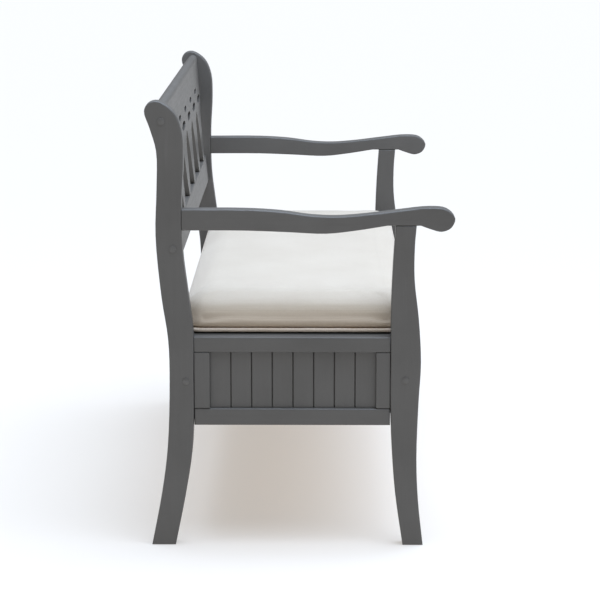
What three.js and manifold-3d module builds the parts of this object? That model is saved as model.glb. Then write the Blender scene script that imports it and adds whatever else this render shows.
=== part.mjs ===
// Painted storage bench with scrolled arms, a pierced back and a lift-up upholstered seat.
// Millimetres. +X runs along the bench, -Y is the front, +Z is up.
// Origin: on the floor, at the middle of the bench's length and depth. "left" is the -X end.
import * as THREE from 'three';
import Module from 'manifold-3d';

const wasm = await Module();
wasm.setup();

// ---- driving dimensions ----
const LENGTH = 1220;
const HEIGHT = 880;
const BOARD = 30;               // end-frame boards: posts and arms
const FIT = 0.3;                // clearance left at every joint between pieces
const EDGE = 2.5;               // rounding of the painted board edges

const BOX_BOTTOM = 243;
const BOX_TOP = 419.5;
const RAIL_T = 22;              // thickness of the front panel's rails and stiles
const TOP_RAIL_H = 30;
const BOTTOM_RAIL_H = 34;
const END_RECESS = 3;           // end panel set back from the outer face of the posts
const END_RAIL_T = BOARD - END_RECESS;
const BEAD_T = 8;
const BEAD_RECESS = 8;
const BEAD_PITCH = 41;
const GROOVE = 3;

const POST_GAP_REAR = 208.2;    // straight stretch of the rear post's front edge
const POST_GAP_FRONT = -175.4;  // straight stretch of the front post's rear edge
const END_STILE_REAR = 31;
const END_STILE_FRONT = 28;

const FRONT_Y = -216;           // outer face of the front panel
const FRONT_STILE = 30;
const MULLION = 44;
const BACK_Y = 234;             // outer face of the back panel
const BACK_T = 18;
const FLOOR_Z = 262;
const FLOOR_T = 12;
const CLEAT = 14;
const REST_W = 22;              // battens under the ends of the lid
const REST_H = 24;

// The backrest leans about a line on the face of its lower rail; v is height above that line.
const BACKREST_Y = 240;
const BACKREST_Z = 613;
const LEAN = 5.8;               // degrees
const LOWER_RAIL = { v0: -50, v1: 13, t: 20 };
const SLATS = 6;
const SLAT_T = 10;
const SLAT_TOP = 126;           // v where the slats meet the crest
const GAP_SIDE = [[78, LOWER_RAIL.v1], [62, 50], [51, 82], [42, 106], [28, SLAT_TOP], [0, 142]];
const PIERCE_LOW = { v: 163, w: 100, h: 19 };
const PIERCE_HIGH = { v: 189, w: 66, h: 13 };

const LID_X = 566;              // half-length of the lid board
const LID_FRONT = -213;
const LID_REAR = 229;
const LID_Z = 423;
const LID_T = 7;
const LID_CORNER = 34;
const WELT_R = 3.2;
const CUSHION_OUT = 10;         // cushion bulges this far past the lid board
const CUSHION_TOP = 497;

const HINGE_X = [-420, 0, 420];
const AXIS_Y = 238;             // lid hinge axis
const AXIS_Z = 421.25;
const KNUCKLE_R = 3;
const PIN_R = 1.6;
const HINGE_W = 60;
const LEAF_T = 1;
const FRAME_LEAF_Y = 217;       // front edge of each leaf
const LID_LEAF_Y = 197;

// Bolts through each end frame: name, Y and Z of the axis.
const BOLTS = [
  ['crest', 267, 841],
  ['lower_rail', 247, 594],
  ['box_rear', 224, 332],
  ['box_front', -205, 335],
];

// ---- materials ----
const paint = () => new THREE.MeshStandardMaterial({ color: 0x6b6c70, roughness: 0.5, metalness: 0 });
const plywood = () => new THREE.MeshStandardMaterial({ color: 0xb59a74, roughness: 0.7, metalness: 0 });
const fabric = () => new THREE.MeshStandardMaterial({ color: 0xe2ddd5, roughness: 0.95, metalness: 0 });
const piping = () => new THREE.MeshStandardMaterial({ color: 0xc9bfb3, roughness: 0.95, metalness: 0 });
const steel = () => new THREE.MeshStandardMaterial({ color: 0x9a9da0, roughness: 0.35, metalness: 0.9 });
const rubber = () => new THREE.MeshStandardMaterial({ color: 0x1d1d1e, roughness: 0.9, metalness: 0 });

const group = new THREE.Group();
group.name = 'storage_bench';

function add(parent, name, geometry, material) {
  const mesh = new THREE.Mesh(geometry, material);
  mesh.name = name;
  parent.add(mesh);
  return mesh;
}

// ---- shape helpers ----
function smooth(points, steps = 4) {
  const knots = points.map(([a, b]) => new THREE.Vector3(a, b, 0));
  const curve = new THREE.CatmullRomCurve3(knots, false, 'centripetal');
  return curve.getPoints(steps * (points.length - 1)).map((p) => new THREE.Vector2(p.x, p.y));
}

function outline(...runs) {
  return new THREE.Shape(runs.flat());
}

function corner(a, b) {
  return [new THREE.Vector2(a, b)];
}

function rectangle(a0, b0, a1, b1) {
  return outline(corner(a0, b0), corner(a1, b0), corner(a1, b1), corner(a0, b1));
}

// Extrudes a shape through a thickness, with its edges rounded.
function plate(shape, thickness, edge = EDGE, segments = 2) {
  const geometry = new THREE.ExtrudeGeometry(shape, {
    depth: thickness - 2 * edge,
    bevelEnabled: edge > 0,
    bevelThickness: edge,
    bevelSize: edge,
    bevelOffset: -edge,
    bevelSegments: segments,
    curveSegments: 6,
  });
  return geometry.translate(0, 0, edge);
}

const ALONG_X = new THREE.Matrix4().makeBasis(
  new THREE.Vector3(0, 1, 0), new THREE.Vector3(0, 0, 1), new THREE.Vector3(1, 0, 0));
const ALONG_MINUS_Y = new THREE.Matrix4().makeBasis(
  new THREE.Vector3(1, 0, 0), new THREE.Vector3(0, 0, 1), new THREE.Vector3(0, -1, 0));

// Shape drawn in (Y, Z), extruded towards +X from x0.
function plateX(shape, x0, thickness, edge, segments) {
  return plate(shape, thickness, edge, segments).applyMatrix4(ALONG_X).translate(x0, 0, 0);
}

// Shape drawn in (X, Z), its front face at yFront.
function plateY(shape, yFront, thickness, edge, segments) {
  return plate(shape, thickness, edge, segments).applyMatrix4(ALONG_MINUS_Y)
    .translate(0, yFront + thickness, 0);
}

// Tongue-and-groove board: V grooves on the face at t = 0, spread evenly over the width.
function beadProfile(a0, a1) {
  const count = Math.round((a1 - a0) / BEAD_PITCH);
  const pitch = (a1 - a0) / count;
  const points = [[a0, 0]];
  for (let i = 1; i < count; i += 1) {
    const a = a0 + i * pitch;
    points.push([a - GROOVE / 2, 0], [a, GROOVE], [a + GROOVE / 2, 0]);
  }
  points.push([a1, 0], [a1, BEAD_T], [a0, BEAD_T]);
  return outline(...points.map(([a, t]) => corner(a, t)));
}

function beadboard(a0, a1, z0, z1) {
  return plate(beadProfile(a0, a1), z1 - z0, 0).translate(0, 0, z0);
}

// Stacks rings of equal point count into a solid, capped at both ends or joined into a loop.
function loft(rings, looped = false) {
  const n = rings[0].length;
  const positions = rings.flat().flatMap((p) => [p.x, p.y, p.z]);
  const index = [];
  for (let k = 0; k < rings.length - (looped ? 0 : 1); k += 1) {
    const below = k * n;
    const above = ((k + 1) % rings.length) * n;
    for (let i = 0; i < n; i += 1) {
      const j = (i + 1) % n;
      index.push(below + i, below + j, above + j, below + i, above + j, above + i);
    }
  }
  const last = (rings.length - 1) * n;
  for (let i = 1; i + 1 < n && !looped; i += 1) {
    index.push(0, i + 1, i, last, last + i, last + i + 1);
  }
  const geometry = new THREE.BufferGeometry();
  geometry.setAttribute('position', new THREE.Float32BufferAttribute(positions, 3));
  geometry.setIndex(index);
  geometry.computeVertexNormals();
  return geometry;
}

// Rounded rectangle in plan at one height, drawn anticlockwise.
function ring(x1, y0, y1, radius, z, perCorner = 7) {
  const points = [];
  const corners = [[x1, y0, 270], [x1, y1, 0], [-x1, y1, 90], [-x1, y0, 180]];
  for (const [x, y, start] of corners) {
    const cx = x - Math.sign(x) * radius;
    const cy = y === y0 ? y0 + radius : y1 - radius;
    for (let i = 0; i <= perCorner; i += 1) {
      const angle = THREE.MathUtils.degToRad(start + 90 * i / perCorner);
      points.push(new THREE.Vector3(cx + radius * Math.cos(angle), cy + radius * Math.sin(angle), z));
    }
  }
  return points;
}

// ---- solid booleans ----
function solid(geometry) {
  const table = new Map();
  const source = geometry.getAttribute('position');
  const order = geometry.index ? Array.from(geometry.index.array) : [...Array(source.count).keys()];
  const vertices = [];
  const triangles = order.map((i) => {
    const p = [source.getX(i), source.getY(i), source.getZ(i)];
    const key = p.map((v) => Math.round(v * 1e4)).join();
    if (!table.has(key)) {
      table.set(key, vertices.length / 3);
      vertices.push(...p);
    }
    return table.get(key);
  });
  const kept = [];
  for (let i = 0; i < triangles.length; i += 3) {
    const [a, b, c] = triangles.slice(i, i + 3);
    if (a !== b && b !== c && c !== a) kept.push(a, b, c);
  }
  return new wasm.Manifold(new wasm.Mesh({
    numProp: 3,
    vertProperties: new Float32Array(vertices),
    triVerts: new Uint32Array(kept),
  }));
}

function fromSolid(body) {
  const mesh = body.getMesh();
  const geometry = new THREE.BufferGeometry();
  const vertices = new Float32Array(mesh.numVert * 3);
  for (let i = 0; i < mesh.numVert; i += 1) {
    for (let k = 0; k < 3; k += 1) vertices[3 * i + k] = mesh.vertProperties[i * mesh.numProp + k];
  }
  geometry.setAttribute('position', new THREE.BufferAttribute(vertices, 3));
  geometry.setIndex(Array.from(mesh.triVerts));
  geometry.computeVertexNormals();
  return geometry;
}

function box(x0, x1, y0, y1, z0, z1) {
  return new THREE.BoxGeometry(x1 - x0, y1 - y0, z1 - z0)
    .translate((x0 + x1) / 2, (y0 + y1) / 2, (z0 + z1) / 2);
}

function rodX(x0, x1, y, z, radius, segments = 24) {
  return new THREE.CylinderGeometry(radius, radius, x1 - x0, segments)
    .rotateZ(Math.PI / 2).translate((x0 + x1) / 2, y, z);
}

// ---- end frames: scroll-topped rear post, sabre front post, swept arm ----
const rearPost = outline(
  smooth([[247, 0], [227, 100], [213, 190], [209, 265], [209, 345], [209, 430], [219, 512], [228, 590],
    [229, 690], [225, 770], [228, 825], [244, 861], [274, HEIGHT], [292, 875], [299, 860], [289, 828],
    [277, 784], [277, 710], [280, 620], [270, 500], [258, 415], [256, 330], [261, 200], [273, 108],
    [294, 0]]));
const frontPost = outline(
  smooth([[-242, 0], [-232, 90], [-228, 175], [-231, 290], [-235, 369], [-230, 456], [-221, 535],
    [-221, 600], [-224, 639.5]]).reverse(),
  smooth([[-202, 0], [-187, 102], [-179, 205], [-176, 290], [-176, 380], [-176, 470], [-179, 560],
    [-184, 639.5]]));
const arm = outline(
  smooth([[236, 671], [110, 671], [40, 667], [-20, 659], [-70, 657], [-125, 661], [-190, 669],
    [-250, 675], [-282, 671], [-298, 654], [-290, 635], [-272, 628], [-254, 632], [-232, 639.8]]),
  smooth([[-168, 639.8], [-110, 630.5], [-50, 624], [25, 627], [110, 630], [236, 630]]));

for (const [side, sign] of [['left', -1], ['right', 1]]) {
  const frame = new THREE.Group();
  frame.name = `${side}_end`;
  group.add(frame);
  const x0 = sign < 0 ? -LENGTH / 2 : LENGTH / 2 - BOARD;
  add(frame, `rear_post_${side}`, plateX(rearPost, x0, BOARD), paint());
  add(frame, `front_post_${side}`, plateX(frontPost, x0, BOARD), paint());
  // The arm's rear end is cut to the curve of the post.
  const postCut = solid(plateX(rearPost, x0 - 1, BOARD + 2, 0)).translate([0, -FIT, 0]);
  add(frame, `arm_${side}`, fromSolid(solid(plateX(arm, x0, BOARD)).subtract(postCut)), paint());

  // End panel of the box: two rails, two stiles and a grooved board behind them.
  const outer = LENGTH / 2 - END_RECESS;
  const railX = sign < 0 ? -outer : outer - END_RAIL_T;
  const y0 = POST_GAP_FRONT;
  const y1 = POST_GAP_REAR;
  const z0 = BOX_BOTTOM + BOTTOM_RAIL_H + FIT;
  const z1 = BOX_TOP - TOP_RAIL_H - FIT;
  add(frame, `end_top_rail_${side}`,
    plateX(rectangle(y0, BOX_TOP - TOP_RAIL_H, y1, BOX_TOP), railX, END_RAIL_T), paint());
  add(frame, `end_bottom_rail_${side}`,
    plateX(rectangle(y0, BOX_BOTTOM, y1, BOX_BOTTOM + BOTTOM_RAIL_H), railX, END_RAIL_T, 4, 3), paint());
  add(frame, `end_stile_front_${side}`,
    plateX(rectangle(y0, z0, y0 + END_STILE_FRONT, z1), railX, END_RAIL_T, 1.5, 1), paint());
  add(frame, `end_stile_rear_${side}`,
    plateX(rectangle(y1 - END_STILE_REAR, z0, y1, z1), railX, END_RAIL_T, 1.5, 1), paint());
  const inner0 = y0 + END_STILE_FRONT + FIT;
  const inner1 = y1 - END_STILE_REAR - FIT;
  const bead = beadboard(sign < 0 ? -inner1 : inner0, sign < 0 ? -inner0 : inner1, z0, z1)
    .rotateZ(sign * Math.PI / 2)
    .translate(sign * (outer - BEAD_RECESS), 0, 0);
  add(frame, `end_beadboard_${side}`, bead, paint());

  // Covers over the bolts that hold the end frame to the box and the backrest.
  for (const [place, y, z] of BOLTS) {
    const cap = new THREE.LatheGeometry(
      [[0, 0], [7, 0], [7, 0.6], [5, 1.6], [0, 2]].map(([r, h]) => new THREE.Vector2(r, h)), 24);
    const mesh = add(frame, `bolt_cap_${place}_${side}`, cap, paint());
    mesh.rotation.z = -sign * Math.PI / 2;
    mesh.position.set(sign * (LENGTH / 2 + FIT), y, z);
  }
}

// ---- storage box between the end frames ----
const storage = new THREE.Group();
storage.name = 'storage_box';
group.add(storage);
const SPAN = LENGTH / 2 - BOARD - FIT;
const panelZ0 = BOX_BOTTOM + BOTTOM_RAIL_H + FIT;
const panelZ1 = BOX_TOP - TOP_RAIL_H - FIT;

add(storage, 'front_top_rail',
  plateY(rectangle(-SPAN, BOX_TOP - TOP_RAIL_H, SPAN, BOX_TOP), FRONT_Y, RAIL_T), paint());
add(storage, 'front_bottom_rail',
  plateY(rectangle(-SPAN, BOX_BOTTOM, SPAN, BOX_BOTTOM + BOTTOM_RAIL_H), FRONT_Y, RAIL_T, 4, 3), paint());
for (const [place, x0, x1] of [
  ['left', -SPAN, -SPAN + FRONT_STILE],
  ['middle', -MULLION / 2, MULLION / 2],
  ['right', SPAN - FRONT_STILE, SPAN],
]) {
  add(storage, `front_stile_${place}`,
    plateY(rectangle(x0, panelZ0, x1, panelZ1), FRONT_Y, RAIL_T, 1.5, 1), paint());
}
for (const [side, sign] of [['left', -1], ['right', 1]]) {
  const near = sign * (MULLION / 2 + FIT);
  const far = sign * (SPAN - FRONT_STILE - FIT);
  const bead = beadboard(Math.min(near, far), Math.max(near, far), panelZ0, panelZ1);
  add(storage, `front_beadboard_${side}`, bead.translate(0, FRONT_Y + BEAD_RECESS, 0), paint());
}
add(storage, 'back_panel',
  plateY(rectangle(-SPAN, BOX_BOTTOM, SPAN, BOX_TOP), BACK_Y - BACK_T, BACK_T, 1.5, 1), paint());

const insideFront = FRONT_Y + RAIL_T + FIT;
const insideBack = BACK_Y - BACK_T - FIT;
add(storage, 'floor_panel',
  box(-SPAN, SPAN, insideFront, insideBack, FLOOR_Z, FLOOR_Z + FLOOR_T), plywood());
add(storage, 'floor_cleat_front', box(-SPAN + 5, SPAN - 5, insideFront, insideFront + CLEAT,
  FLOOR_Z - FIT - CLEAT, FLOOR_Z - FIT), plywood());
add(storage, 'floor_cleat_rear', box(-SPAN + 5, SPAN - 5, insideBack - CLEAT, insideBack,
  FLOOR_Z - FIT - CLEAT, FLOOR_Z - FIT), plywood());

for (const [side, sign] of [['left', -1], ['right', 1]]) {
  const ends = [sign * SPAN, sign * (SPAN - REST_W)].sort((a, b) => a - b);
  add(storage, `lid_rest_${side}`,
    box(...ends, insideFront, insideBack, BOX_TOP - REST_H, BOX_TOP), paint());
}

// ---- backrest: lower rail, flared slats and pierced crest ----
const backrest = new THREE.Group();
backrest.name = 'backrest';
backrest.position.set(0, BACKREST_Y, BACKREST_Z);
backrest.rotation.x = THREE.MathUtils.degToRad(-LEAN);
group.add(backrest);
const SLAT_PITCH = 2 * SPAN / SLATS;
const slatCentres = Array.from({ length: SLATS }, (_, i) => -SPAN + SLAT_PITCH * (i + 0.5));
const gapCentres = slatCentres.slice(1).map((x) => x - SLAT_PITCH / 2);

// Right-hand edge of a gap, from the lower rail up to the crown of its arch.
const STEPS = 4;
const gapEdge = smooth([...GAP_SIDE, [-28, SLAT_TOP]], STEPS).slice(0, STEPS * 5 + 1);
const slatEdge = gapEdge.slice(0, STEPS * 4 + 1);
const archEdge = gapEdge.slice(STEPS * 4);
const edgeAt = (edge, x, sign) => edge.map((p) => new THREE.Vector2(x + sign * p.x, p.y));
const archUp = (x) => edgeAt(archEdge, x, -1);
const archDown = (x) => edgeAt(archEdge, x, 1).reverse();

add(backrest, 'back_lower_rail',
  plateY(rectangle(-SPAN, LOWER_RAIL.v0, SPAN, LOWER_RAIL.v1), 0, LOWER_RAIL.t, 3), paint());

const slatSide = slatEdge.map((p) => new THREE.Vector2(
  p.x, THREE.MathUtils.clamp(p.y, LOWER_RAIL.v1 + FIT, SLAT_TOP - FIT)));
slatCentres.forEach((x, i) => {
  const shape = outline(
    edgeAt(slatSide, x + SLAT_PITCH / 2, -1),
    edgeAt(slatSide, x - SLAT_PITCH / 2, 1).reverse());
  add(backrest, `back_slat_${i + 1}`, plateY(shape, 0, SLAT_T, 0.6, 1), paint());
});

// The crest's section follows the scroll of the posts, set inside it.
const crestSection = outline(
  smooth([[0, SLAT_TOP], [-2.5, 163], [-3, 200], [-3.5, 240], [-3, 255], [7, 261], [17, 255], [24, 246],
    [24, 236], [19, 216], [14, 180], [15, SLAT_TOP]], 3));
const crestFront = outline(
  corner(SPAN, 280),
  corner(-SPAN, 280),
  archDown(-SPAN),
  ...gapCentres.map((x) => [...archUp(x), ...archDown(x).slice(1)]),
  archUp(SPAN));
const piercings = [
  ...slatCentres.map((x) => [x, PIERCE_LOW]),
  ...gapCentres.map((x) => [x, PIERCE_HIGH]),
];
for (const [x, size] of piercings) {
  const hole = new THREE.Path();
  hole.absellipse(x, size.v, size.w / 2, size.h / 2, 0, 2 * Math.PI, true);
  crestFront.holes.push(hole);
}
const crest = solid(plateX(crestSection, -SPAN, 2 * SPAN, 0))
  .intersect(solid(plateY(crestFront, -20, 90, 0)));
add(backrest, 'back_crest_rail', fromSolid(crest), paint());

// ---- lid: board, cushion and piping, hinged along the back ----
const lid = new THREE.Group();
lid.name = 'lid';
group.add(lid);
const lidRing = (out, z) => ring(
  LID_X + out, LID_FRONT - out, LID_REAR + out, Math.max(LID_CORNER + out, 26), z);

add(lid, 'lid_board', loft([lidRing(0, LID_Z), lidRing(0, LID_Z + LID_T)]), plywood());
const cushionBase = LID_Z + LID_T + FIT;
add(lid, 'seat_cushion', loft([
  [3, 0], [8, 4], [CUSHION_OUT, 12], [CUSHION_OUT, 32], [8.5, 41], [5, 48.5], [-1, 54.5], [-11, 59.5],
  [-28, 63], [-70, 65.7], [-150, CUSHION_TOP - cushionBase],
].map(([out, rise]) => lidRing(out, cushionBase + rise))), fabric());
add(lid, 'seat_piping', loft(Array.from({ length: 10 }, (_, k) => {
  const angle = THREE.MathUtils.degToRad(-90 + 36 * k);
  return lidRing(FIT + WELT_R * (1 + Math.cos(angle)), LID_Z + FIT + WELT_R * (1 + Math.sin(angle)));
}), true), piping());
for (const [side, sign] of [['left', -1], ['right', 1]]) {
  const bumper = new THREE.CylinderGeometry(8, 8, LID_Z - BOX_TOP - 2 * FIT, 20).rotateX(Math.PI / 2);
  add(lid, `lid_bumper_${side}`, bumper, rubber())
    .position.set(sign * 440, FRONT_Y + RAIL_T / 2, (LID_Z + BOX_TOP) / 2);
}

// ---- butt hinges: a leaf on the back panel, a leaf under the lid, one pin ----
function leaf(y0, z0, knuckles) {
  const z1 = z0 + LEAF_T;
  let body = solid(box(
    -HINGE_W / 2, HINGE_W / 2, y0, AXIS_Y - KNUCKLE_R - 0.5, z0, z1));
  for (const [x0, x1] of knuckles) {
    body = body
      .add(solid(box(x0, x1, AXIS_Y - KNUCKLE_R - 1, AXIS_Y, z0, z1)))
      .add(solid(rodX(x0, x1, AXIS_Y, AXIS_Z, KNUCKLE_R)));
  }
  return fromSolid(body.subtract(solid(rodX(-HINGE_W, HINGE_W, AXIS_Y, AXIS_Z, PIN_R + 0.08))));
}

const third = HINGE_W / 6;
const pinProfile = [[0, -31.5], [2.6, -31.5], [2.6, -30.3], [PIN_R, -30.3], [PIN_R, 30.3], [2.6, 30.3],
  [2.6, 31.5], [0, 31.5]].map(([r, h]) => new THREE.Vector2(r, h));
HINGE_X.forEach((x, i) => {
  const hinge = new THREE.Group();
  hinge.name = `hinge_${i + 1}`;
  hinge.position.x = x;
  group.add(hinge);
  add(hinge, `hinge_frame_leaf_${i + 1}`, leaf(FRAME_LEAF_Y, BOX_TOP + FIT,
    [[-HINGE_W / 2, -third - 0.2], [third + 0.2, HINGE_W / 2]]), steel());
  add(hinge, `hinge_lid_leaf_${i + 1}`, leaf(LID_LEAF_Y, LID_Z - FIT - LEAF_T,
    [[-third + 0.2, third - 0.2]]), steel());
  const pin = add(hinge, `hinge_pin_${i + 1}`, new THREE.LatheGeometry(pinProfile, 24), steel());
  pin.rotation.z = -Math.PI / 2;
  pin.position.set(0, AXIS_Y, AXIS_Z);
});

export default group;
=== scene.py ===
"""Looks of a grey-painted storage bench with an ivory upholstered lift-up seat.

Metres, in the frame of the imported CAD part: +X along the bench, -Y the front, +Z up.
"""

import math

import bmesh
import bpy
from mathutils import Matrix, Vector, noise


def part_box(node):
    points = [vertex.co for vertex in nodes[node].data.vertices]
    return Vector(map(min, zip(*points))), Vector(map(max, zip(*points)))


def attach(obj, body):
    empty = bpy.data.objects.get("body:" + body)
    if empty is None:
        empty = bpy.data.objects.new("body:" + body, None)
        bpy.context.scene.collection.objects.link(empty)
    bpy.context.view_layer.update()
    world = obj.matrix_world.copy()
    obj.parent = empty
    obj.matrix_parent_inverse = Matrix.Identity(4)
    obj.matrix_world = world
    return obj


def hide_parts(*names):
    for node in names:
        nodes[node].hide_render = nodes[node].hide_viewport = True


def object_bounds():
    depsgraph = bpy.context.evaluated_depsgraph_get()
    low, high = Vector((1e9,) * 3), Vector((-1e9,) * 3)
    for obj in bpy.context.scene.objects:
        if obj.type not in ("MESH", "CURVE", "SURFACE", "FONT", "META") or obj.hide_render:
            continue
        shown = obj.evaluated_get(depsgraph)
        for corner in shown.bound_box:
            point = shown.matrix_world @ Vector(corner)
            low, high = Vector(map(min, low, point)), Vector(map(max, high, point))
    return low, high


MM = 0.001

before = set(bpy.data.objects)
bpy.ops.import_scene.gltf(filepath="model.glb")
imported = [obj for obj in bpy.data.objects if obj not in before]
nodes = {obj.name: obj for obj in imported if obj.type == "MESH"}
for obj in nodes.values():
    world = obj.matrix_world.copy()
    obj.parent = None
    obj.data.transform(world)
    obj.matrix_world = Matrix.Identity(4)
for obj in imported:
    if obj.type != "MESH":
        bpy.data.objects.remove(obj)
cad_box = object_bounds()


# ---- colours, linear ----
def linear(r, g, b):
    """Linear colour from sRGB values of 0 to 255."""
    def one(v):
        v /= 255
        return v / 12.92 if v <= 0.04045 else ((v + 0.055) / 1.055) ** 2.4
    return (one(r), one(g), one(b), 1.0)


PAINT = linear(86, 84, 81)
PAINT_LIGHT = linear(90, 88, 85)
PAINT_DARK = linear(82, 80, 77)
IVORY = (0.630, 0.566, 0.472, 1.0)
IVORY_DARK = (0.555, 0.485, 0.395, 1.0)
PIPING = (0.740, 0.690, 0.620, 1.0)
BIRCH = linear(201, 172, 130)
BIRCH_DARK = linear(166, 132, 90)
STEEL = linear(168, 170, 172)
RUBBER = linear(28, 28, 29)
PAINTED_CAP = linear(92, 90, 87)
SKY = (1.0, 0.97, 0.93, 1.0)
SUN = (0.82, 0.95, 1.16)
FLOOR = (0.52, 0.49, 0.45, 1.0)


# Painted shade on the upholstery's sides: the heights between which it fades from darker and warmer
# at the foot to the plain colour, and its tint.
cushion_low, cushion_high = (corner[2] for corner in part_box("seat_cushion"))
SHADED_BAND = (cushion_low, cushion_low + 0.75 * (cushion_high - cushion_low))
FOOT_PAINTED_SHADE = (1.0, 0.93, 0.87, 1.0)


# ---- node graph helpers ----
class Graph:
    """A material's node tree, with short calls to add nodes and link sockets."""

    def __init__(self, name):
        self.material = bpy.data.materials.new(name)
        self.material.use_nodes = True
        self.tree = self.material.node_tree
        self.shader = self.tree.nodes["Principled BSDF"]

    def add(self, kind, **settings):
        node = self.tree.nodes.new(kind)
        for key, value in settings.items():
            if hasattr(node, key):
                setattr(node, key, value)
            else:
                node.inputs[key].default_value = value
        return node

    def link(self, source, target):
        self.tree.links.new(source, target)

    def place(self, scale=(1, 1, 1), rotation=(0, 0, 0)):
        """Object coordinates, in metres, scaled and turned."""
        coordinates = self.add("ShaderNodeTexCoord")
        mapping = self.add("ShaderNodeMapping")
        mapping.inputs["Scale"].default_value = scale
        mapping.inputs["Rotation"].default_value = rotation
        self.link(coordinates.outputs["Object"], mapping.inputs["Vector"])
        return mapping.outputs["Vector"]

    def noise(self, vector, scale, detail=3.0, roughness=0.55):
        node = self.add("ShaderNodeTexNoise", Scale=scale, Detail=detail, Roughness=roughness)
        self.link(vector, node.inputs["Vector"])
        return node.outputs["Fac"]

    def ramp(self, value, stops):
        """Colour ramp through (position, colour) stops."""
        node = self.add("ShaderNodeValToRGB")
        elements = node.color_ramp.elements
        while len(elements) < len(stops):
            elements.new(0.5)
        for element, (position, colour) in zip(elements, stops):
            element.position = position
            element.color = colour
        self.link(value, node.inputs["Fac"])
        return node.outputs["Color"]

    def remap(self, value, low, high, from_low=0.0, from_high=1.0):
        node = self.add("ShaderNodeMapRange")
        node.inputs["From Min"].default_value = from_low
        node.inputs["From Max"].default_value = from_high
        node.inputs["To Min"].default_value = low
        node.inputs["To Max"].default_value = high
        self.link(value, node.inputs["Value"])
        return node.outputs["Result"]

    def math(self, operation, a, b):
        node = self.add("ShaderNodeMath", operation=operation)
        for socket, value in zip(node.inputs, (a, b)):
            if isinstance(value, (int, float)):
                socket.default_value = value
            else:
                self.link(value, socket)
        return node.outputs["Value"]

    def bump(self, height, distance, strength=1.0, normal=None):
        node = self.add("ShaderNodeBump", Strength=strength, Distance=distance)
        self.link(height, node.inputs["Height"])
        if normal is not None:
            self.link(normal, node.inputs["Normal"])
        return node.outputs["Normal"]

    def finish(self, colour, roughness, normal):
        self.link(colour, self.shader.inputs["Base Color"])
        self.link(roughness, self.shader.inputs["Roughness"])
        self.link(normal, self.shader.inputs["Normal"])
        return self.material


# Texture scale for each board direction: stretched along the board.
ALONG = {"x": (0.06, 1, 1), "y": (1, 0.06, 1), "z": (1, 1, 0.06)}
WORN_PAINT = linear(112, 111, 110)


def painted_wood(axis):
    """Satin paint brushed along the board, over faint grain."""
    g = Graph(f"grey_paint_{axis}")
    cloud = g.noise(g.place(), 7, 4)
    brushed = g.noise(g.place(ALONG[axis]), 900, 2)
    grain = g.noise(g.place(ALONG[axis]), 160, 5, 0.7)
    colour = g.ramp(cloud, [(0.3, PAINT_DARK), (0.5, PAINT), (0.75, PAINT_LIGHT)])
    tone = g.add("ShaderNodeMix", data_type="RGBA", blend_type="MULTIPLY")
    tone.inputs["Factor"].default_value = 0.22
    g.link(colour, tone.inputs["A"])
    grain_tone = g.ramp(grain, [(0.25, (0.78, 0.78, 0.78, 1)), (0.7, (1.08, 1.08, 1.08, 1))])
    g.link(grain_tone, tone.inputs["B"])
    roughness = g.remap(g.noise(g.place(ALONG[axis]), 240, 3), 0.38, 0.54)
    fine = g.bump(brushed, 0.12 * MM, 0.5)
    normal = g.bump(grain, 0.25 * MM, 0.35, fine)
    scuff = g.remap(g.noise(g.place(ALONG[axis]), 60, 6, 0.7), 0.0, 0.35, 0.66, 0.8)
    worn = g.add("ShaderNodeMix", data_type="RGBA")
    worn.inputs["B"].default_value = WORN_PAINT
    g.link(scuff, worn.inputs["Factor"])
    g.link(tone.outputs["Result"], worn.inputs["A"])
    return g.finish(worn.outputs["Result"], roughness, normal)


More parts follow.
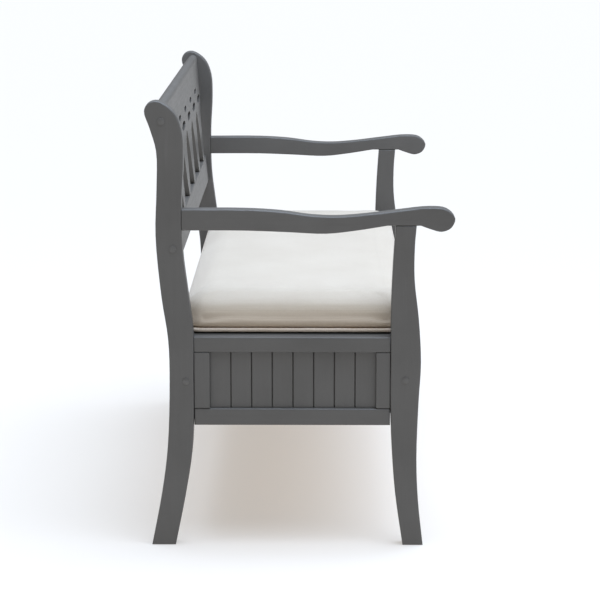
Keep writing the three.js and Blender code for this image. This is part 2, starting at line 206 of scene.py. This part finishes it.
def woven(name, light, dark, thread, tilt=0.0):
    """Plain weave: crossed threads, slubs and a soft sheen."""
    g = Graph(name)
    across = g.place(rotation=(0, 0, tilt))
    density = math.pi / (10 * thread)
    warp = g.add("ShaderNodeTexWave", wave_type="BANDS", bands_direction="X", Scale=density)
    weft = g.add("ShaderNodeTexWave", wave_type="BANDS", bands_direction="Y", Scale=density)
    for wave in (warp, weft):
        wave.inputs["Distortion"].default_value = 0.6
        wave.inputs["Detail"].default_value = 1.0
        g.link(across, wave.inputs["Vector"])
    side = g.add("ShaderNodeTexWave", wave_type="BANDS", bands_direction="Z", Scale=density)
    g.link(across, side.inputs["Vector"])
    threads = g.math("ADD", g.math("MAXIMUM", warp.outputs["Fac"], weft.outputs["Fac"]),
                     g.math("MULTIPLY", side.outputs["Fac"], 0.5))
    slub = g.noise(g.place((1, 6, 3)), 160, 3)
    cloud = g.noise(g.place((1, 1, 6)), 7, 4)
    mixed = g.math("ADD", g.math("MULTIPLY", slub, 0.55), g.math("MULTIPLY", cloud, 0.45))
    colour = g.ramp(mixed, [(0.32, dark), (0.62, light)])
    shade = g.add("ShaderNodeMix", data_type="RGBA", blend_type="MULTIPLY")
    shade.inputs["Factor"].default_value = 0.3
    g.link(colour, shade.inputs["A"])
    g.link(g.ramp(threads, [(0.1, (0.72, 0.70, 0.68, 1)), (1.0, (1, 1, 1, 1))]), shade.inputs["B"])
    # Painted shade: the fabric is multiplied darker and warmer towards the foot, fading out up
    # through SHADED_BAND.
    position = g.add("ShaderNodeSeparateXYZ")
    g.link(g.place(), position.inputs["Vector"])
    painted_shade_fade = g.remap(position.outputs["Z"], 1.0, 0.0, *SHADED_BAND)
    painted_foot_shade = g.add("ShaderNodeMix", data_type="RGBA", blend_type="MULTIPLY")
    painted_foot_shade.inputs["B"].default_value = FOOT_PAINTED_SHADE
    g.link(painted_shade_fade, painted_foot_shade.inputs["Factor"])
    g.link(shade.outputs["Result"], painted_foot_shade.inputs["A"])
    roughness = g.remap(slub, 0.86, 0.98)
    coarse = g.bump(slub, 0.4 * MM, 0.5)
    normal = g.bump(threads, 0.35 * MM, 0.6, coarse)
    g.shader.inputs["Sheen Weight"].default_value = 0.35
    g.shader.inputs["Sheen Roughness"].default_value = 0.5
    g.shader.inputs["Specular IOR Level"].default_value = 0.2
    return g.finish(painted_foot_shade.outputs["Result"], roughness, normal)


def raw_plywood():
    g = Graph("birch_plywood")
    figure = g.noise(g.place((0.5, 9, 1)), 14, 6, 0.65)
    pores = g.noise(g.place((0.04, 1, 1)), 900, 2)
    colour = g.ramp(figure, [(0.3, BIRCH_DARK), (0.55, BIRCH), (0.8, linear(222, 198, 160))])
    roughness = g.remap(pores, 0.55, 0.75)
    return g.finish(colour, roughness, g.bump(pores, 0.15 * MM, 0.5))


def brushed_steel():
    g = Graph("zinc_steel")
    scratch = g.noise(g.place((0.03, 1, 1)), 2500, 2)
    spangle = g.noise(g.place(), 350, 2)
    colour = g.ramp(spangle, [(0.3, linear(140, 142, 146)), (0.7, STEEL)])
    g.shader.inputs["Metallic"].default_value = 0.95
    return g.finish(colour, g.remap(scratch, 0.25, 0.42), g.bump(scratch, 0.03 * MM, 0.4))


def moulded(name, colour, low, high):
    g = Graph(name)
    grain = g.noise(g.place(), 1800, 2)
    shade = [channel * 0.85 for channel in colour[:3]] + [1]
    return g.finish(
        g.ramp(g.noise(g.place(), 90, 2), [(0.3, shade), (0.7, colour)]),
        g.remap(grain, low, high), g.bump(grain, 0.06 * MM, 0.5))


PAINTS = {axis: painted_wood(axis) for axis in "xyz"}
FABRIC = woven("ivory_fabric", IVORY, IVORY_DARK, 1.2 * MM)
CORD_FABRIC = woven("piping_fabric", PIPING, IVORY_DARK, 0.7 * MM, math.radians(45))
PLYWOOD = raw_plywood()
ZINC = brushed_steel()
BLACK_RUBBER = moulded("black_rubber", RUBBER, 0.7, 0.9)
CAP_PAINT = moulded("painted_cap", PAINTED_CAP, 0.25, 0.4)


# ---- finish of the CAD pieces ----
def give(obj, material):
    for slot in obj.material_slots:
        slot.material = material


def long_axis(name):
    low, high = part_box(name)
    spans = [h - l for l, h in zip(low, high)]
    return "xyz"[spans.index(max(spans))]


def material_of(name):
    if name.startswith("hinge_"):
        return ZINC
    if name.startswith("lid_bumper"):
        return BLACK_RUBBER
    if name.startswith("bolt_cap"):
        return CAP_PAINT
    if name == "lid_board" or name.startswith("floor_"):
        return PLYWOOD
    if name == "seat_piping":
        return CORD_FABRIC
    if "beadboard" in name:
        return PAINTS["z"]
    return PAINTS[long_axis(name)]


def soften(obj, crease=math.radians(50)):
    """Smooth shading across the rounded edges, with sharp corners kept."""
    for polygon in obj.data.polygons:
        polygon.use_smooth = True
    weld = obj.modifiers.new("weld", "WELD")
    weld.merge_threshold = 0.01 * MM
    split = obj.modifiers.new("corners", "EDGE_SPLIT")
    split.split_angle = crease
    weighted = obj.modifiers.new("faces", "WEIGHTED_NORMAL")
    weighted.weight = 80


for name, obj in nodes.items():
    give(obj, material_of(name))
    if name != "seat_cushion":
        soften(obj)


# ---- seat cushion ----
def copy_of(name, new_name):
    """A welded copy of a CAD node's mesh, as a new object."""
    obj = bpy.data.objects.new(new_name, nodes[name].data.copy())
    bpy.context.collection.objects.link(obj)
    mesh = bmesh.new()
    mesh.from_mesh(obj.data)
    bmesh.ops.remove_doubles(mesh, verts=mesh.verts, dist=0.01 * MM)
    mesh.to_mesh(obj.data)
    mesh.free()
    return obj


def apply_modifiers(obj):
    bpy.context.view_layer.objects.active = obj
    for modifier in list(obj.modifiers):
        bpy.ops.object.modifier_apply(modifier=modifier.name)


VOXEL = 6 * MM
START_SHRINK = 2 * MM           # each side starts this far inside the CAD cushion
HELD_BAND = 7 * MM              # points this near the underside don't move
CLOTH_FRAMES = 20
MOVE_CAP = 7 * MM               # most that a point moves from its start
SIDE_INSET = 2 * MM             # the ends and the rear edge ease from here, inside the CAD cushion
FRONT_INSET = 1 * MM            # the same for the front edge
SIDE_GIVE = 3 * MM              # and pass that limit by less than this
CROWN_INSET = 3 * MM            # the same two for the top
CROWN_GIVE = 7 * MM
TUCK = 3 * MM                   # pull at the foot, fading out over TUCK_BAND
TUCK_BAND = 25 * MM
TUCK_POWER = 9                  # odd, so the pull keeps its sign and acts only near the edges

cushion = copy_of("seat_cushion", "upholstered_seat")
low, high = (Vector(corner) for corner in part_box("seat_cushion"))
centre = (low + high) / 2

remesh = cushion.modifiers.new("remesh", "REMESH")
remesh.mode = "VOXEL"
remesh.voxel_size = VOXEL
apply_modifiers(cushion)

half = (high - low) / 2
for vertex in cushion.data.vertices:
    vertex.co.x -= START_SHRINK * (vertex.co.x - centre.x) / half.x
    vertex.co.y -= START_SHRINK * (vertex.co.y - centre.y) / half.y
start = [vertex.co.copy() for vertex in cushion.data.vertices]


def inflate(obj, pinned_height):
    """Cloth under pressure, held along its underside."""
    group = obj.vertex_groups.new(name="held")
    group.add([v.index for v in obj.data.vertices if v.co.z < pinned_height], 1.0, "REPLACE")
    cloth = obj.modifiers.new("cloth", "CLOTH")
    cloth.settings.quality = 4
    cloth.settings.mass = 0.3
    cloth.settings.use_pressure = True
    cloth.settings.uniform_pressure_force = 4
    cloth.settings.effector_weights.gravity = 0
    cloth.settings.vertex_group_mass = "held"
    cloth.settings.tension_stiffness = 25
    cloth.settings.compression_stiffness = 25
    cloth.settings.bending_stiffness = 0.4
    cloth.collision_settings.use_collision = False
    scene = bpy.context.scene
    for step in range(1, CLOTH_FRAMES + 1):
        scene.frame_set(step)
    apply_modifiers(obj)
    scene.frame_set(1)


inflate(cushion, low.z + HELD_BAND)


def eased(value, limit, most, side):
    """Value held near a limit on one side (+1 above, -1 below), passing it by less than `most`."""
    over = side * (value - limit)
    if over <= 0:
        return value
    return limit + side * most * (1 - math.exp(-over / most))


for vertex, origin in zip(cushion.data.vertices, start):
    move = vertex.co - origin
    if move.length > MOVE_CAP:
        vertex.co = origin + move.normalized() * MOVE_CAP
    x, y, z = vertex.co
    x = eased(x, high.x - SIDE_INSET, SIDE_GIVE, 1)
    x = eased(x, low.x + SIDE_INSET, SIDE_GIVE, -1)
    y = eased(y, high.y - SIDE_INSET, SIDE_GIVE, 1)
    y = eased(y, low.y + FRONT_INSET, SIDE_GIVE, -1)
    z = max(eased(z, high.z - CROWN_INSET, CROWN_GIVE, 1), low.z)
    vertex.co = (x, y, z)

for vertex in cushion.data.vertices:
    x, y, z = vertex.co
    pull = TUCK * max(0.0, 1 - (z - low.z) / TUCK_BAND) ** 2
    across = (x - centre.x) / half.x
    along = (y - centre.y) / half.y
    vertex.co.x -= pull * across ** TUCK_POWER
    vertex.co.y -= pull * along ** TUCK_POWER

smooth = cushion.modifiers.new("relax", "SMOOTH")
smooth.iterations = 4
cushion.modifiers.new("subdivision", "SUBSURF").levels = 1
apply_modifiers(cushion)
for polygon in cushion.data.polygons:
    polygon.use_smooth = True
cushion.data.materials.clear()
cushion.data.materials.append(FABRIC)
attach(cushion, "lid")
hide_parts("seat_cushion")


# ---- piping sewn round the foot of the cushion ----
CORD_R = 4.0 * MM
CORD_SIDES = 12
CORD_STEP = 9 * MM
CORD_CORNER_R = 37.5 * MM       # corner radius of the cord's centre line
CORNER_STEPS = 8


def rounded_path(half_x, half_y, radius):
    """Points round a rounded rectangle about the origin, about CORD_STEP apart."""
    points = []
    turns = [(1, -1, 270), (1, 1, 0), (-1, 1, 90), (-1, -1, 180)]
    for i, (sx, sy, start_angle) in enumerate(turns):
        corner = Vector((sx * (half_x - radius), sy * (half_y - radius), 0))
        for step in range(CORNER_STEPS + 1):
            angle = math.radians(start_angle + 90 * step / CORNER_STEPS)
            points.append(corner + radius * Vector((math.cos(angle), math.sin(angle), 0)))
        nx, ny, next_angle = turns[(i + 1) % 4]
        angle = math.radians(next_angle)
        after = Vector((nx * (half_x - radius), ny * (half_y - radius), 0))
        after += radius * Vector((math.cos(angle), math.sin(angle), 0))
        count = int((after - points[-1]).length / CORD_STEP)
        begin = points[-1]
        points += [begin.lerp(after, k / count) for k in range(1, count)]
    return points


def sewn_cord():
    """A fabric-covered cord that wanders slightly along its seam."""
    cord_low, cord_high = (Vector(corner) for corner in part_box("seat_piping"))
    cad_radius = (cord_high.z - cord_low.z) / 2
    reach = (cord_high - cord_low) / 2 - Vector((cad_radius, cad_radius, 0))
    middle = (cord_low + cord_high) / 2
    path = rounded_path(reach.x, reach.y, CORD_CORNER_R)
    mesh = bmesh.new()
    loops = []
    for i, point in enumerate(path):
        tangent = (path[(i + 1) % len(path)] - path[i - 1]).normalized()
        outward = Vector((tangent.y, -tangent.x, 0))
        wander = 0.35 * MM * noise.noise(point * 40)
        centre_here = middle + point + Vector((0, 0, wander))
        swell = CORD_R * (1 + 0.05 * noise.noise(point * 90 + Vector((5, 0, 0))))
        loops.append([
            mesh.verts.new(centre_here + swell * (
                outward * math.cos(2 * math.pi * k / CORD_SIDES)
                + Vector((0, 0, math.sin(2 * math.pi * k / CORD_SIDES)))))
            for k in range(CORD_SIDES)])
    for i, loop in enumerate(loops):
        following = loops[(i + 1) % len(loops)]
        for k in range(CORD_SIDES):
            j = (k + 1) % CORD_SIDES
            mesh.faces.new((loop[k], loop[j], following[j], following[k]))
    bmesh.ops.recalc_face_normals(mesh, faces=mesh.faces)
    data = bpy.data.meshes.new("sewn_piping")
    mesh.to_mesh(data)
    mesh.free()
    for polygon in data.polygons:
        polygon.use_smooth = True
    data.materials.append(CORD_FABRIC)
    obj = bpy.data.objects.new("sewn_piping", data)
    bpy.context.collection.objects.link(obj)
    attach(obj, "lid")
    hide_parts("seat_piping")


sewn_cord()


# ---- hinge screws ----
# From rim to recess: share of the radius, share of the height, depth of the cross cut into the ring.
SCREW_RINGS = [(1.0, 0.0, 0), (1.0, 0.45, 0), (0.86, 0.8, 0), (0.42, 0.9, 0), (0.3, 0.3, 0.4)]
SCREW_SIDES = 20
SCREW_R = 2.6 * MM
FRAME_HEAD_H = 0.3 * MM         # flatter, since the closed lid's leaf lies over these
LID_HEAD_H = 0.5 * MM
LEAF_PROUD = 1.3 * MM           # how far a hinge leaf stands out from the wood
SCREW_SPREAD = 20 * MM          # screws either side of a leaf's middle
FRAME_SCREW_INSET = 8 * MM      # from each leaf's front edge
LID_SCREW_INSET = 9 * MM


def screw_head(name, centre, axis, body, height):
    """Countersunk head with a cross recess, facing along the axis."""
    mesh = bmesh.new()
    previous = None
    for share, lift, cross in SCREW_RINGS:
        ring = []
        for i in range(SCREW_SIDES):
            angle = 2 * math.pi * i / SCREW_SIDES
            r = SCREW_R * share * (1 - cross * abs(math.sin(2 * angle)))
            ring.append(mesh.verts.new((r * math.cos(angle), r * math.sin(angle), lift * height)))
        if previous:
            for i in range(SCREW_SIDES):
                j = (i + 1) % SCREW_SIDES
                mesh.faces.new((previous[i], previous[j], ring[j], ring[i]))
        else:
            mesh.faces.new(list(reversed(ring)))
        previous = ring
    mesh.faces.new(previous)
    data = bpy.data.meshes.new(name)
    mesh.to_mesh(data)
    mesh.free()
    obj = bpy.data.objects.new(name, data)
    bpy.context.collection.objects.link(obj)
    obj.rotation_euler = Vector((0, 0, 1)).rotation_difference(Vector(axis)).to_euler()
    obj.location = centre
    data.materials.append(ZINC)
    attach(obj, body)


for i in (1, 2, 3):
    frame_low, frame_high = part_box(f"hinge_frame_leaf_{i}")
    lid_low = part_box(f"hinge_lid_leaf_{i}")[0]
    middle = (frame_low[0] + frame_high[0]) / 2
    frame_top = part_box("back_panel")[1][2] + LEAF_PROUD
    lid_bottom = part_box("lid_board")[0][2] - LEAF_PROUD
    for side, offset in (("a", -SCREW_SPREAD), ("b", SCREW_SPREAD)):
        x = middle + offset
        screw_head(f"frame_screw_{i}{side}", (x, frame_low[1] + FRAME_SCREW_INSET, frame_top),
                   (0, 0, 1), "frame", FRAME_HEAD_H)
        screw_head(f"lid_screw_{i}{side}", (x, lid_low[1] + LID_SCREW_INSET, lid_bottom),
                   (0, 0, -1), "lid", LID_HEAD_H)


# ---- stage, light and camera ----
FLOOR_SIZE = 70
FLOOR_Z = -0.2 * MM
FLOOR_GLOW = 0.36               # keeps the pale floor near white under soft light
SUN_STRENGTH = 3.3
SUN_ANGLE = math.radians(70)
SUN_TILT = math.radians(18)     # from overhead towards the front
LAMP_POWER = 18
LAMP_PLACE = Vector((-0.45, 0.1, 2.0))
LAMP_TARGET = Vector((0.6, 0.0, 0.6))
ROOM_STRENGTH = 0.36


def plane(name, size, z):
    mesh = bmesh.new()
    bmesh.ops.create_grid(mesh, x_segments=1, y_segments=1, size=size / 2)
    data = bpy.data.meshes.new(name)
    mesh.to_mesh(data)
    mesh.free()
    obj = bpy.data.objects.new(name, data)
    obj.location.z = z
    bpy.context.collection.objects.link(obj)
    return obj


floor = plane("floor", FLOOR_SIZE, FLOOR_Z)
floor_look = Graph("floor")
floor_look.shader.inputs["Base Color"].default_value = FLOOR
floor_look.shader.inputs["Roughness"].default_value = 0.95
floor_look.shader.inputs["Specular IOR Level"].default_value = 0.1
floor_look.shader.inputs["Emission Color"].default_value = (1.0, 1.0, 1.0, 1.0)
floor_look.shader.inputs["Emission Strength"].default_value = FLOOR_GLOW
floor.data.materials.append(floor_look.material)

# A broad softbox overhead, tilted to the front: cool light from above, a warmer room around.
sun = bpy.data.lights.new("softbox", "SUN")
sun.energy = SUN_STRENGTH
sun.color = SUN
sun.angle = SUN_ANGLE
softbox = bpy.data.objects.new("softbox", sun)
softbox.rotation_euler = (SUN_TILT, 0, 0)
bpy.context.collection.objects.link(softbox)

# A lamp over the seat, aimed at the far end frame.
lamp = bpy.data.lights.new("seat_lamp", "AREA")
lamp.shape = "RECTANGLE"
lamp.size, lamp.size_y = 1.6, 1.2
lamp.energy = LAMP_POWER
lamp.color = SUN
seat_lamp = bpy.data.objects.new("seat_lamp", lamp)
seat_lamp.location = LAMP_PLACE
aim = LAMP_TARGET - LAMP_PLACE
seat_lamp.rotation_euler = aim.to_track_quat("-Z", "Y").to_euler()
bpy.context.collection.objects.link(seat_lamp)

world = bpy.data.worlds.new("studio")
world.use_nodes = True
room = world.node_tree.nodes["Background"].inputs
room["Color"].default_value = SKY
room["Strength"].default_value = ROOM_STRENGTH
bpy.context.scene.world = world
bpy.context.scene.view_settings.view_transform = "Standard"

CAMERA_FROM_END = 4.168         # distance from the near end frame
CAMERA_HEIGHT = 1.305
CAMERA_Y = -0.031
PITCH = math.radians(11.0)      # downward
YAW = math.radians(0.44)        # towards the back
FOCAL = 131.5                   # millimetres, on a 36 mm sensor

eye = Vector((cad_box[0][0] - CAMERA_FROM_END, CAMERA_Y, CAMERA_HEIGHT))
forward = Vector((math.cos(PITCH) * math.cos(YAW), math.cos(PITCH) * math.sin(YAW), -math.sin(PITCH)))
camera_data = bpy.data.cameras.new("camera")
camera_data.lens = FOCAL
camera_data.sensor_width = 36
camera = bpy.data.objects.new("camera", camera_data)
camera.location = eye
camera.rotation_euler = forward.to_track_quat("-Z", "Y").to_euler()
bpy.context.collection.objects.link(camera)
bpy.context.scene.camera = camera
